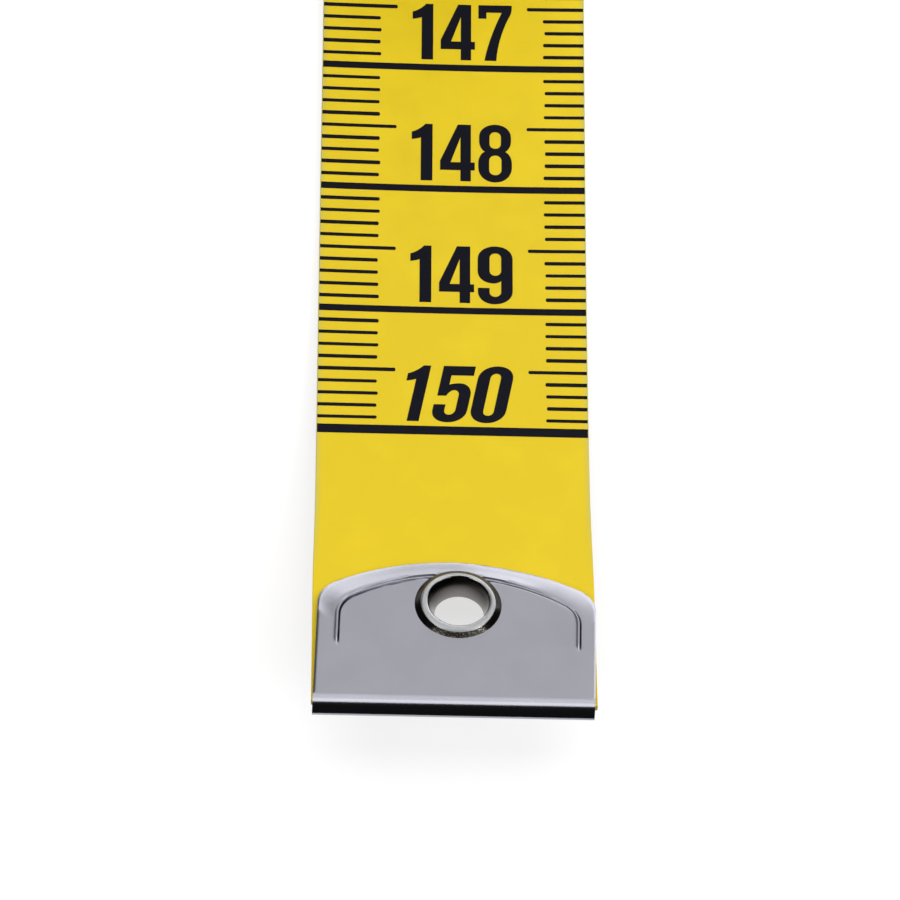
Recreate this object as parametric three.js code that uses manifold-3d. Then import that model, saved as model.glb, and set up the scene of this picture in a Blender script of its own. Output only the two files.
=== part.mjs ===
// A tailor's cloth tape measure, partly unrolled.
// The tape lies along Y with its printed face up. Its free end, at -Y, curls off the table and
// carries a folded metal clip with an eyelet. Its other end is wound up in a roll at +Y, with a
// narrow folded clip across the middle of the roll.
// The origin is the middle of the flat underside that the roll stands on. Units are millimetres.

import * as THREE from 'three';
import { mergeVertices } from 'three/addons/utils/BufferGeometryUtils.js';
import Module from 'manifold-3d';

const wasm = await Module();
wasm.setup();

// Tape: a woven glass-fibre cloth between two soft plastic coats
const overallLength = 1524.1;
const tapeWidth = 19;
const coatThickness = 0.17;
const clothThickness = 0.14;
const bondGap = 0.01;

// Stretches, measured along the tape from the outer edge of the end clip
const tipLength = 36;
const leadLength = 38;
const baseLength = 14;
const seamGap = 0.3;

// Curl of the free end: it starts flat and tightens evenly up to the end clip
const curlStart = 54;
const curlDegrees = 14.4;
const curlSteps = 10;

// Roll: the turns keep clear of each other, and the inner end hooks in across the core
const turnGap = 0.5;
const coreRadius = 5.5;
const hookRadius = 3;
const hookDegrees = 90;
const hookSteps = 5;
const stepsPerTurn = 22;

// End clip: one folded sheet with an arched edge, folded slightly askew
const sheetThickness = 0.35;
const clipGrip = 0.03;
const clipSideInset = 0.175;
const clipDepth = 12.6;
const clipFoldBulge = 0.22;
const clipArchRadius = 18.4;
const clipCornerRadius = 2;
const clipSkewDegrees = 1.4;
const clipShift = 0.04;
const clipEndSpace = 0.35;
const foldSteps = 5;
const archSteps = 8;

// Eyelet: a barrel through clip and tape, rolled over into a rim on both sides
const eyeletSetback = 8.9;
const eyeletOffset = 0.36;
const eyeletBore = 4;
const eyeletWall = 0.27;
const eyeletRimDiameter = 5.8;
const eyeletRimHeight = 0.3;
const eyeletRimEdge = 0.05;
const eyeletSeat = 0.03;
const eyeletClearance = 0.06;
const eyeletSides = 24;

// Start clip: a narrow folded sheet over the tape's other cut end
const startClipDepth = 5.5;
const startClipFoldBulge = 0.1;
const startClipMouth = 0.4;

// Sizes that follow from these
const tapeThickness = 2 * coatThickness + clothThickness + 2 * bondGap;
const halfTape = tapeThickness / 2;
const leadEnd = tipLength + leadLength;
const rollStart = leadEnd + baseLength;
const originDistance = leadEnd + baseLength / 2;
const clipWidth = tapeWidth - 2 * clipSideInset;
const clipFoldRadius = halfTape + clipGrip + sheetThickness + clipFoldBulge;
const startFoldRadius = halfTape + clipGrip + sheetThickness + startClipFoldBulge;
const curlAngle = THREE.MathUtils.degToRad(curlDegrees);
const hookAngle = THREE.MathUtils.degToRad(hookDegrees);
const turnPitch = tapeThickness + turnGap;

// Route of the tape's middle plane, seen from the side. A station has a place (y, z) and the
// heading of the tape there, and up = (-sin, cos) of the heading is the printed side.

// Heading of the laid stretch at a distance from the end clip's outer edge
function laidHeading(distance) {
  const share = (curlStart - Math.max(distance, clipDepth)) / (curlStart - clipDepth);
  return share > 0 ? -curlAngle * share * share : 0;
}

// Station of the laid stretch, summed in short steps from where the tape leaves the table
function laidStation(distance) {
  const sumSteps = 200;
  const step = (curlStart - distance) / sumSteps;
  const station = { y: distance - originDistance, z: halfTape, heading: laidHeading(distance) };
  if (step <= 0) {
    return station;
  }
  station.y = curlStart - originDistance;
  for (let i = 0; i < sumSteps; i += 1) {
    const heading = laidHeading(curlStart - (i + 0.5) * step);
    station.y -= step * Math.cos(heading);
    station.z -= step * Math.sin(heading);
  }
  return station;
}

// Stations of the laid stretch between two distances: only its curl needs steps
function laidStations(from, to) {
  const distances = [from, to];
  for (let i = 0; i <= curlSteps; i += 1) {
    const distance = clipDepth + (i / curlSteps) * (curlStart - clipDepth);
    if (distance > from && distance < to) {
      distances.push(distance);
    }
  }
  distances.sort((a, b) => a - b);
  return distances.map(laidStation);
}

// Walk on from a station along an arc, or straight on where the turn is 0
function walk(station, length, turn) {
  const chord = turn === 0 ? length : (2 * length / turn) * Math.sin(turn / 2);
  const along = station.heading + turn / 2;
  return {
    y: station.y + chord * Math.cos(along),
    z: station.z + chord * Math.sin(along),
    heading: station.heading + turn,
  };
}

// Roll: its radius falls by one pitch a turn, from the table up and over, to the core.
// Its outer radius follows from the length of tape that is left to wind.
const hookLength = hookRadius * hookAngle;
const innerStraight = startClipMouth + startClipDepth;
const woundLength = overallLength - rollStart - hookLength - innerStraight;
const rollRadius = Math.sqrt(coreRadius ** 2 + woundLength * turnPitch / Math.PI);
const woundTurns = (rollRadius - coreRadius) / turnPitch;

function rollStations() {
  const stations = [laidStation(rollStart + seamGap / 2)];
  let station = laidStation(rollStart);
  const steps = Math.ceil(woundTurns * stepsPerTurn);
  const turn = 2 * Math.PI / stepsPerTurn;
  let wound = 0;
  for (let i = 0; i < steps; i += 1) {
    const part = Math.min(turn, 2 * Math.PI * woundTurns - wound);
    const radius = rollRadius - turnPitch * (wound + part / 2) / (2 * Math.PI);
    station = walk(station, radius * part, part);
    wound += part;
    stations.push(station);
  }
  for (let i = 0; i < hookSteps; i += 1) {
    station = walk(station, hookLength / hookSteps, hookAngle / hookSteps);
    stations.push(station);
  }
  return stations;
}

const rollRoute = rollStations();
const hookEnd = rollRoute[rollRoute.length - 1];
const startEdge = walk(hookEnd, innerStraight, 0);
rollRoute.push(walk(startEdge, -startFoldRadius - clipEndSpace, 0));

// Least clear gap between the turns, measured from points on one to the stretches of the others
function leastGap(stations, thickness) {
  const reach = 2 * coreRadius;
  let best = Infinity;
  const run = [0];
  for (let i = 1; i < stations.length; i += 1) {
    const a = stations[i - 1];
    const b = stations[i];
    run.push(run[i - 1] + Math.hypot(b.y - a.y, b.z - a.z));
  }
  for (let i = 0; i < stations.length; i += 1) {
    for (let j = 1; j < stations.length; j += 1) {
      if (run[j - 1] - run[i] < reach && run[i] - run[j] < reach) {
        continue;
      }
      const from = new THREE.Vector3(0, stations[j - 1].y, stations[j - 1].z);
      const to = new THREE.Vector3(0, stations[j].y, stations[j].z);
      const point = new THREE.Vector3(0, stations[i].y, stations[i].z);
      const nearest = new THREE.Line3(from, to).closestPointToPoint(point, true, new THREE.Vector3());
      best = Math.min(best, nearest.distanceTo(point) - thickness);
    }
  }
  return best;
}

console.log(`roll: ${woundTurns.toFixed(1)} turns, outer radius ${rollRadius.toFixed(2)} mm`);
console.log(`least gap of the roll to itself: ${leastGap(rollRoute, tapeThickness).toFixed(2)} mm`);

// Closed strip along a route, between two heights above the tape's middle plane
function stripGeometry(stations, low, high) {
  const positions = [];
  const index = [];
  for (const { y, z, heading } of stations) {
    for (const [side, height] of [[-1, low], [1, low], [1, high], [-1, high]]) {
      const up = [-Math.sin(heading) * height, Math.cos(heading) * height];
      positions.push(side * tapeWidth / 2, y + up[0], z + up[1]);
    }
  }
  for (let i = 0; i + 1 < stations.length; i += 1) {
    for (let k = 0; k < 4; k += 1) {
      const a = 4 * i + k;
      const b = 4 * i + (k + 1) % 4;
      index.push(a, b + 4, b, a, a + 4, b + 4);
    }
  }
  const last = 4 * (stations.length - 1);
  index.push(0, 1, 2, 0, 2, 3);
  index.push(last, last + 2, last + 1, last, last + 3, last + 2);
  const geometry = new THREE.BufferGeometry();
  geometry.setAttribute('position', new THREE.Float32BufferAttribute(positions, 3));
  geometry.setIndex(index);
  return geometry;
}

// Solid for joining and cutting
function toSolid(geometry) {
  const bare = geometry.clone();
  bare.deleteAttribute('normal');
  bare.deleteAttribute('uv');
  const merged = mergeVertices(bare, 1e-5);
  return new wasm.Manifold(new wasm.Mesh({
    numProp: 3,
    vertProperties: new Float32Array(merged.attributes.position.array),
    triVerts: new Uint32Array(merged.index.array),
  }));
}

function toGeometry(solid) {
  const { vertProperties, triVerts } = solid.getMesh();
  const geometry = new THREE.BufferGeometry();
  geometry.setAttribute('position', new THREE.Float32BufferAttribute(vertProperties, 3));
  geometry.setIndex([...triVerts]);
  return geometry;
}

// Height of a folded sheet's outer face above the tape's middle plane: its two leaves close
// evenly from the fold to the mouth, where they grip the tape
function leafHeight(distance, depth, foldRadius) {
  const mouthHeight = halfTape + clipGrip + sheetThickness;
  const share = (depth - distance) / (depth - foldRadius);
  return mouthHeight + (foldRadius - mouthHeight) * share;
}

// Folded sheet in its own frame: y runs into the clip from its outer edge, z is up from the
// tape's middle plane. The leaves may run past the mouth, to be trimmed.
function foldedSheet(depth, width, foldRadius, overrun) {
  const end = depth + overrun;
  const endOuter = leafHeight(end, depth, foldRadius);
  const endInner = endOuter - sheetThickness;
  const profile = new THREE.Shape();
  profile.moveTo(end, endOuter);
  profile.absarc(foldRadius, 0, foldRadius, Math.PI / 2, 3 * Math.PI / 2, false);
  profile.lineTo(end, -endOuter);
  profile.lineTo(end, -endInner);
  profile.absarc(foldRadius, 0, foldRadius - sheetThickness, 3 * Math.PI / 2, Math.PI / 2, true);
  profile.lineTo(end, endInner);
  const settings = { depth: width, bevelEnabled: false, curveSegments: foldSteps };
  const geometry = new THREE.ExtrudeGeometry(profile, settings);
  geometry.translate(0, 0, -width / 2);
  const turned = new THREE.Matrix4().makeBasis(
    new THREE.Vector3(0, 1, 0),
    new THREE.Vector3(0, 0, 1),
    new THREE.Vector3(1, 0, 0),
  );
  return geometry.applyMatrix4(turned);
}

// Outline of the end clip's leaves from above: straight sides, round corners, arched top
function clipOutline() {
  const halfWidth = clipWidth / 2;
  const archCentre = clipDepth - clipArchRadius;
  const cornerX = halfWidth - clipCornerRadius;
  const cornerReach = clipArchRadius - clipCornerRadius;
  const cornerY = archCentre + Math.sqrt(cornerReach ** 2 - cornerX ** 2);
  const cornerAngle = Math.atan2(cornerY - archCentre, cornerX);
  const straight = new THREE.Shape();
  straight.moveTo(-halfWidth, -clipFoldRadius);
  straight.lineTo(halfWidth, -clipFoldRadius);
  straight.absarc(cornerX, cornerY, clipCornerRadius, 0, cornerAngle, false);
  straight.absarc(0, archCentre, clipArchRadius, cornerAngle, Math.PI - cornerAngle, false);
  straight.absarc(-cornerX, cornerY, clipCornerRadius, Math.PI - cornerAngle, Math.PI, false);
  const lean = Math.tan(THREE.MathUtils.degToRad(clipSkewDegrees));
  const skewed = straight.getPoints(archSteps).map(({ x, y }) => new THREE.Vector2(
    x + clipShift + lean * y,
    y - lean * x * Math.max(y, 0) / clipDepth,
  ));
  return new THREE.Shape(skewed);
}

function roundCutter(diameter, height) {
  const cutter = new THREE.CylinderGeometry(diameter / 2, diameter / 2, height, eyeletSides);
  cutter.rotateX(Math.PI / 2);
  cutter.translate(eyeletOffset, eyeletSetback, 0);
  return cutter;
}

const barrelDiameter = eyeletBore + 2 * eyeletWall;
const eyeletHole = barrelDiameter + 2 * eyeletClearance;
const throughHeight = 4 * clipFoldRadius;

function endClipGeometry() {
  const trim = clipFoldRadius;
  const sheet = toSolid(foldedSheet(clipDepth, 2 * clipWidth, clipFoldRadius, trim));
  const outline = new THREE.ExtrudeGeometry(clipOutline(), { depth: throughHeight, bevelEnabled: false });
  outline.translate(0, 0, -throughHeight / 2);
  const hole = toSolid(roundCutter(eyeletHole, throughHeight));
  return toGeometry(sheet.intersect(toSolid(outline)).subtract(hole));
}

// Rim profile of the eyelet on one side, from the bore over the crest to the seat under the rim
function rimPoints(seatHeight, side) {
  const boreRadius = eyeletBore / 2;
  const rimRadius = eyeletRimDiameter / 2;
  const halfSpan = (rimRadius - boreRadius) / 2;
  const rimSteps = 6;
  const points = [];
  for (let i = 0; i <= rimSteps; i += 1) {
    const angle = Math.PI * (1 - i / rimSteps);
    const radius = boreRadius + halfSpan * (1 + Math.cos(angle));
    const height = seatHeight + eyeletRimEdge + eyeletRimHeight * Math.sin(angle);
    points.push(new THREE.Vector2(radius, side * height));
  }
  points.push(new THREE.Vector2(rimRadius, side * seatHeight));
  points.push(new THREE.Vector2(barrelDiameter / 2, side * seatHeight));
  return points;
}

function eyeletGeometry() {
  const thickEdge = eyeletSetback - eyeletRimDiameter / 2;
  const seatHeight = leafHeight(thickEdge, clipDepth, clipFoldRadius) + eyeletSeat;
  const upper = rimPoints(seatHeight, 1);
  const lower = rimPoints(seatHeight, -1).reverse();
  const profile = [...upper, ...lower, upper[0].clone()].reverse();
  const geometry = new THREE.LatheGeometry(profile, eyeletSides);
  geometry.rotateX(Math.PI / 2);
  return geometry;
}

// Materials
const yellowCoat = new THREE.MeshStandardMaterial({ color: 0xebcc2e, roughness: 0.45, metalness: 0 });
const glassCloth = new THREE.MeshStandardMaterial({ color: 0xd9d3b8, roughness: 0.9, metalness: 0 });
const satinNickel = new THREE.MeshStandardMaterial({ color: 0xb4b4ba, roughness: 0.35, metalness: 1 });
const darkNickel = new THREE.MeshStandardMaterial({ color: 0x8d8782, roughness: 0.2, metalness: 1 });

// Layers of the tape, by their heights above its middle plane
const clothTop = clothThickness / 2;
const coatFoot = clothTop + bondGap;
const layers = [
  { name: 'front_coat', low: coatFoot, high: halfTape, material: yellowCoat },
  { name: 'cloth', low: -clothTop, high: clothTop, material: glassCloth },
  { name: 'back_coat', low: -halfTape, high: -coatFoot, material: yellowCoat },
];

function addMesh(parent, name, geometry, material) {
  const mesh = new THREE.Mesh(geometry, material);
  mesh.name = name;
  parent.add(mesh);
  return mesh;
}

const tapeMeasure = new THREE.Group();

// Clip groups stand at the outer edges of the tape, with y running along it
function clipGroup(station, turn) {
  const group = new THREE.Group();
  group.position.set(0, station.y, station.z);
  group.rotation.x = station.heading + turn;
  group.updateMatrix();
  tapeMeasure.add(group);
  return group;
}

const endGroup = clipGroup(laidStation(0), 0);
const startGroup = clipGroup(startEdge, Math.PI);

// Stretches of tape. The tip is pierced for the eyelet.
const stretches = [
  { name: 'roll', route: rollRoute },
  { name: 'base', route: laidStations(leadEnd + seamGap / 2, rollStart - seamGap / 2) },
  { name: 'lead', route: laidStations(tipLength + seamGap / 2, leadEnd - seamGap / 2) },
  { name: 'tip', route: laidStations(clipFoldRadius + clipEndSpace, tipLength - seamGap / 2), pierced: true },
];
const tipCutter = toSolid(roundCutter(eyeletHole, throughHeight).applyMatrix4(endGroup.matrix));
for (const { name, route, pierced } of stretches) {
  for (const layer of layers) {
    const strip = stripGeometry(route, layer.low, layer.high);
    const geometry = pierced ? toGeometry(toSolid(strip).subtract(tipCutter)) : strip;
    addMesh(tapeMeasure, `${name}_${layer.name}`, geometry, layer.material);
  }
}

addMesh(endGroup, 'end_clip', endClipGeometry(), satinNickel);
const eyelet = addMesh(endGroup, 'eyelet', eyeletGeometry(), darkNickel);
eyelet.position.set(eyeletOffset, eyeletSetback, 0);
addMesh(startGroup, 'start_clip', foldedSheet(startClipDepth, clipWidth, startFoldRadius, 0), satinNickel);

export default tapeMeasure;
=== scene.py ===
import math
import random

import bmesh
import bpy
from mathutils import Matrix, Vector
from mathutils.geometry import delaunay_2d_cdt
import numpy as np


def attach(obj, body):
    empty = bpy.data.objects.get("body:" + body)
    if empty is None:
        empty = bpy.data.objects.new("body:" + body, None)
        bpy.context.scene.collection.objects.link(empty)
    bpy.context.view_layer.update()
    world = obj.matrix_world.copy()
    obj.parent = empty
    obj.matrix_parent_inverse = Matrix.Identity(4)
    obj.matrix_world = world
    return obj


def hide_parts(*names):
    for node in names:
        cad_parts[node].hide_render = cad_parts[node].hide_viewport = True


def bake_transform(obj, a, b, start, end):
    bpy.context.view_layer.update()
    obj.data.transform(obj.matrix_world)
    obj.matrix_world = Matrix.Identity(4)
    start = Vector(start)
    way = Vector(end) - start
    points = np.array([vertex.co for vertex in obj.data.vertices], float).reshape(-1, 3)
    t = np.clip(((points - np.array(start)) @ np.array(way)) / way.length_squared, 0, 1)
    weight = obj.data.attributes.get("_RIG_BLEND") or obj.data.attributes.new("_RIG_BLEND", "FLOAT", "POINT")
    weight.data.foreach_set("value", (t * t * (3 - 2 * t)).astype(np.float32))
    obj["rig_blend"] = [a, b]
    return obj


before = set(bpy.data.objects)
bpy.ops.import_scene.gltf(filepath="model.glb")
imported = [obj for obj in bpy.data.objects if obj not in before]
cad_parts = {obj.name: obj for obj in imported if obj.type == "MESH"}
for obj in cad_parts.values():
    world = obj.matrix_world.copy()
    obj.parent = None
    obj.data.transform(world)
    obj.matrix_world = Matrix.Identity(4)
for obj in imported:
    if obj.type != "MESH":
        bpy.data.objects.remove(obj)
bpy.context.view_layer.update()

MM = 0.001

# The tape, in millimetres, by distance along it from the end clip's outer edge
OVERALL_LENGTH = 1524.1
TAPE_WIDTH = 19
COAT = 0.17
CLOTH = 0.14
BOND_GAP = 0.01
TAPE_THICKNESS = 2 * COAT + CLOTH + 2 * BOND_GAP
EDGE_ROUND = 0.05
CLOTH_INSET = 0.02
ORIGIN_AT = 81
CURL_START = 54
CURL_DEGREES = 14.4
ROLL_AT = 88
TURN_GAP = 0.5
CORE_RADIUS = 5.5
HOOK_RADIUS = 3
HOOK_DEGREES = 90
START_STRAIGHT = 5.9
START_CUT = 1.08
END_CUT = 0.85

# The share by which the end clip presses the tape wider, and where along it
WIDENING = 0.0105
WIDENING_SPAN = (19.5, 10.5)

# The end clip
CLIP_HALF_WIDTH = 9.445
CLIP_DEPTH = 12.6
CLIP_TOP = 12.68
CLIP_ARCH_RADIUS = 18.4
CLIP_CORNER_RADIUS = 2
CLIP_SKEW = math.radians(1.8)
CLIP_SHIFT = -0.075
SHEET = 0.35
CLIP_EDGE = 0.04
CLIP_EDGE_SEGMENTS = 3
CLIP_EDGE_DEGREES = 60
EDGE_DROP = 0.06
EDGE_DROP_FAR = 0.01
EDGE_SHARE = 0.12
FOLD_TOP = 0.85
FOLD_BENDS = ((1.6, 8), (1.1, 26), (1.12, 38))
FOLD_CREASE = (0.2, 53)
FOLD_CHIN = 0.437
FOLD_HEEL = (0.4, 55)
FOLD_BEND_STEPS = 9
FOLD_REACH = 0.12
MOUTH_HEIGHT = 0.63
BORDER_SLOPE = 0.165
BORDER_SLOPE_RIGHT = 0.04
BORDER_RIGHT_AT = 3
BORDER_RIGHT_WIDTH = 2
BORDER_EYELET_EASE = 0.15
BORDER_EYELET_WIDTH = 1.2
BORDER_LEFT_END = 0.03
BORDER_LEFT_END_SPAN = (-6, -8)
BORDER_RIGHT_END = -0.3
BORDER_RIGHT_END_SPAN = (4, 7.5)
BORDER_EVEN_SPAN = (4, 7)
BORDER_CREASE = 0.55
BORDER_CREASE_RISE = 0.52
BORDER_BOW = 0.3
BORDER_BOW_LEFT = 0.05
BORDER_BOW_RIGHT = 0.4
BEAD_HALF_WIDTH = 8.165
BEAD_SHIFT = 0.115
BEAD_TOP = 11.27
BEAD_ARCH_RADIUS = 14.0
BEAD_CORNER_RADIUS = 2.0
BEAD_TILT = 0.014
BEAD_END = 5.5
BEAD_OUTER_REACH = 0.3
BEAD_INNER_REACH = 0.34
BEAD_INNER_FADE = 0.06
BEAD_EYELET_REACH = 0.04
BEAD_END_SPAN = (BEAD_END - 0.3, BEAD_END + 0.1)
RIDGE_HEIGHT = 0.08
RIDGE_HEIGHT_SIDES = 0.12
RIDGE_SIDES_SPAN = (3, 7.5)
RIDGE_HALF_TOP = 0.05
RIDGE_HALF_FOOT = 0.09
FILLET_HEIGHT = 0.05
FILLET_LENGTH = 0.1
GROOVE_DEPTH = 0.2
GROOVE_WIDTH = 0.2
GROOVE_NEAR_LOSS = 0.55
GROOVE_FAR_SPAN = (5, 7.5)
GROOVE_FACING_FAR = (0.7, 0.95)
GROOVE_FACING_NEAR = (0.15, 0.5)
SLIT_WIDTH = 0.1
SLIT_SPAN = (3, 5.5)

# The eyelet
EYELET_X = 0.28
EYELET_AT = 8.85
EYELET_RIM = 2.955
EYELET_BORE = 2.0
EYELET_THROAT = 1.68
EYELET_WALL = 0.27
EYELET_CREST = 0.32
EYELET_LEAN = (0.12, 0.16)
EYELET_LEAN_FROM = 0.35
EYELET_SIDES = 96
HOLE_CLEARANCE = 0.06
BEAD_ROOM_SPAN = (EYELET_RIM - 0.2, EYELET_RIM + 0.8)
BEAD_STOP_SPAN = (EYELET_RIM - 0.4, EYELET_RIM - 0.1)

# The print
INK_LIFT = 0.002
INK_THICKNESS = 0.012
LINE_150_AT = 24.1
LAST_NUMBER = 150
SLANTED_EVERY = 10
CENTIMETRE = 10
INCH = 25.4
EIGHTHS = 8
FIRST_EIGHTH = 5
TICK = 0.282
TICK_UNEVEN = 0.06
TICK_THICK_UNEVEN = 0.1
LEFT_TICK = -5.27
LEFT_HALF_TICK = -4.05
RIGHT_TICK = 6.55
RIGHT_HALF_TICK = 5.29
CENTIMETRE_LINE = 0.53
LAST_LINE = 0.72
LINE_PART = 1.9
LINE_END_STEPS = 6
LINE_END_ROUND = 0.1
PRINT_BOW = 0.1
PRINT_BOW_SPAN = (22, 40)
FIGURE_HEIGHT = 4.77
FIGURE_GAP = 0.39
FIGURE_SQUAT = 0.975
FIGURE_SPACE = 0.25
AFTER_ONE = 0.78
ONE_TO_FOUR = 0.55
SLANT = math.tan(math.radians(10.5))
FIGURES_MIDDLE = 0.62
SLANTED_MIDDLE = -0.16
PRINT_INTO_ROLL = 8
CORE_PRINT_FROM = OVERALL_LENGTH - 50
CORE_PRINT_TO = OVERALL_LENGTH - 12
OUTER_PRINT_TURNS = 1.02

# The stretches of the tape are cut where no tick or figure is
TIP_END = 62.6
LEAD_END = 80.6
TIP_BEND = (38, 32.5)
LEAD_BEND = (75.5, 70)

# How finely shapes are made
CURL_STEP = 0.1
CURL_PAST_END = 2
LAID_STEP = 0.4
TURN_STEPS = 64
HOOK_STEPS = 8
SHARP_DEGREES = 35
CLIP_SHARP_DEGREES = 40
TOUCHING = 0.001
SAME_POINT = 1e-6


def laid_heading(d):
    """Heading of the laid tape: level, then curling up to the end clip."""
    share = (CURL_START - max(d, CLIP_DEPTH)) / (CURL_START - CLIP_DEPTH)
    return -math.radians(CURL_DEGREES) * max(share, 0) ** 2


def curl_places(step, count):
    """Places along the curl, from its start towards the end clip."""
    y = CURL_START - ORIGIN_AT
    z = TAPE_THICKNESS / 2
    places = [(y, z)]
    for i in range(count):
        heading = laid_heading(CURL_START - (i + 0.5) * step)
        y -= step * math.cos(heading)
        z -= step * math.sin(heading)
        places.append((y, z))
    return places


CURL = curl_places(CURL_STEP, round((CURL_START + CURL_PAST_END) / CURL_STEP))
PITCH = TAPE_THICKNESS + TURN_GAP
SPREAD = PITCH / (2 * math.pi)
HOOK_LENGTH = HOOK_RADIUS * math.radians(HOOK_DEGREES)
WOUND = OVERALL_LENGTH - ROLL_AT - HOOK_LENGTH - START_STRAIGHT
ROLL_RADIUS = math.sqrt(CORE_RADIUS**2 + 2 * SPREAD * WOUND)


def spiral(s):
    """Place and heading in the roll, s from where it starts."""
    radius = math.sqrt(ROLL_RADIUS**2 - 2 * SPREAD * s)
    turn = (ROLL_RADIUS - radius) / SPREAD
    y = radius * math.sin(turn) + SPREAD * (1 - math.cos(turn))
    z = ROLL_RADIUS - radius * math.cos(turn) - SPREAD * math.sin(turn)
    return ROLL_AT - ORIGIN_AT + y, TAPE_THICKNESS / 2 + z, turn


def station(d):
    """Place and heading of the tape's middle at distance d."""
    if d < CURL_START:
        steps = (CURL_START - d) / CURL_STEP
        i = min(int(steps), len(CURL) - 2)
        part = steps - i
        y, z = [lerp(a, b, part) for a, b in zip(CURL[i], CURL[i + 1])]
        return y, z, laid_heading(d)
    if d < ROLL_AT:
        return d - ORIGIN_AT, TAPE_THICKNESS / 2, 0.0
    s = d - ROLL_AT
    y, z, turn = spiral(min(s, WOUND))
    bend = min(max(s - WOUND, 0), HOOK_LENGTH) / HOOK_RADIUS
    y += HOOK_RADIUS * (math.sin(turn + bend) - math.sin(turn))
    z += HOOK_RADIUS * (math.cos(turn) - math.cos(turn + bend))
    straight = max(s - WOUND - HOOK_LENGTH, 0)
    turn += bend
    return y + straight * math.cos(turn), z + straight * math.sin(turn), turn


def place(x, d, n):
    """The point x across the tape, d along it and n above its middle, in metres."""
    y, z, heading = station(d)
    y -= n * math.sin(heading)
    z += n * math.cos(heading)
    return Vector((x, y, z)) * MM


def smooth(low, high, value):
    """A soft step from 0 at low to 1 at high."""
    t = min(max((value - low) / (high - low), 0), 1)
    return t * t * (3 - 2 * t)


def lerp(a, b, t):
    return a + (b - a) * t


def mark_sharp(mesh, degrees):
    """Smooth faces, with sharp edges where the mesh turns by more than an angle."""
    bm = bmesh.new()
    bm.from_mesh(mesh)
    limit = math.radians(degrees)
    for face in bm.faces:
        face.smooth = True
    for edge in bm.edges:
        edge.smooth = len(edge.link_faces) != 2 or edge.calc_face_angle(0) < limit
    bm.to_mesh(mesh)
    bm.free()


def settle(piece, degrees):
    """Applies a piece's modifiers to its mesh."""
    graph = bpy.context.evaluated_depsgraph_get()
    made = bpy.data.meshes.new_from_object(piece.evaluated_get(graph), depsgraph=graph)
    piece.modifiers.clear()
    piece.data = made
    mark_sharp(made, degrees)


def mesh_object(name, points, faces, material):
    """A piece from points given as (x, d, n), which it keeps for its material."""
    mesh = bpy.data.meshes.new(name)
    mesh.from_pydata([place(*p) for p in points], [], faces)
    route = mesh.attributes.new("route", "FLOAT_VECTOR", "POINT")
    route.data.foreach_set("vector", [value for p in points for value in p])
    mesh.materials.append(material)
    mesh.validate()
    mark_sharp(mesh, SHARP_DEGREES)
    piece = bpy.data.objects.new(name, mesh)
    bpy.context.scene.collection.objects.link(piece)
    return piece


def fold_path():
    """Places (d, n) round the fold, from the upper leaf to the lower one."""
    path = [(0.0, FOLD_TOP)]
    turned = 0.0

    def bend(radius, degrees):
        nonlocal turned
        for i in range(FOLD_BEND_STEPS):
            following = turned + math.radians(degrees) / FOLD_BEND_STEPS
            d = path[-1][0] - radius * (math.sin(following) - math.sin(turned))
            n = path[-1][1] - radius * (math.cos(turned) - math.cos(following))
            path.append((d, n))
            turned = following

    for radius, degrees in FOLD_BENDS:
        bend(radius, degrees)
    crease = len(path) - 1
    bend(*FOLD_CREASE)
    d, n = path[-1]
    path.append((d - FOLD_CHIN * math.cos(turned), n - FOLD_CHIN * math.sin(turned)))
    bend(*FOLD_HEEL)
    outer = min(d for d, n in path)
    return [(d - outer - FOLD_REACH, n) for d, n in path], crease


FOLD, CREASE = fold_path()
FOLD_START = FOLD[0][0]


def leaf_height(d):
    """Height of the clip's outer face above the tape's middle."""
    return lerp(FOLD_TOP, MOUTH_HEIGHT, (d - FOLD_START) / (CLIP_DEPTH - FOLD_START))


# Colours, as shares of light
YELLOW_SHADES = ((0.755, 0.552, 0.0085), (0.866, 0.648, 0.0115))
YELLOW_EDGE = (0.6, 0.52, 0.085)
CLOTH_SHADES = ((0.30, 0.27, 0.14), (0.72, 0.69, 0.50))
INK_SHADES = ((0.002, 0.002, 0.007), (0.0045, 0.0045, 0.011))
NICKEL_SHADES = ((0.342, 0.342, 0.386), (0.362, 0.362, 0.408))
START_SHADES = ((0.335, 0.335, 0.38), (0.37, 0.37, 0.415))
# Painted shade and light on the eyelet: dark on its slopes and the top of its barrel, lighter towards the
# barrel's foot
EYELET_PAINTED_SHADES = ((0.035, 0.032, 0.03), (0.27, 0.25, 0.245))
EYELET_SPECKS = (0.38, 0.34, 0.27)
# Painted highlight: the light colour of the eyelet's crest
EYELET_CREST_HIGHLIGHT = (0.39, 0.395, 0.405)

# Where colours and gloss change, in millimetres
# Painted light: the yellow is painted lighter along this span towards the roll, against the shade that the
# roll casts on the tape
PAINTED_FILL_SPAN = (35, 70)
EDGE_BAND = (TAPE_WIDTH / 2 - 0.42, TAPE_WIDTH / 2)
EDGE_BAND_START = (CLIP_DEPTH - 1, CLIP_DEPTH + 5)
THREAD_PITCH = 0.55
WAVE_LENGTH = 0.314
BURNISHED_SPAN = (0.2, 0.75)
SPECKS_SPAN = (EYELET_AT - 2.3, EYELET_AT - 1.3)
DULL_SPAN = (EYELET_AT - 2.5, EYELET_AT - 2.1)
PLATE = leaf_height(EYELET_AT)
# Painted light: the eyelet's barrel is painted lighter below this span, towards its foot
PAINTED_FOOT_LIGHT_SPAN = (PLATE - 1.4, PLATE - 0.35)
# Painted highlight: where the eyelet's crest turns light; its roughness changes here too
CREST_HIGHLIGHT_SPAN = (PLATE + EYELET_CREST - 0.075, PLATE + EYELET_CREST - 0.04)
NOISE_SPAN = (0.3, 0.7)


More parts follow.
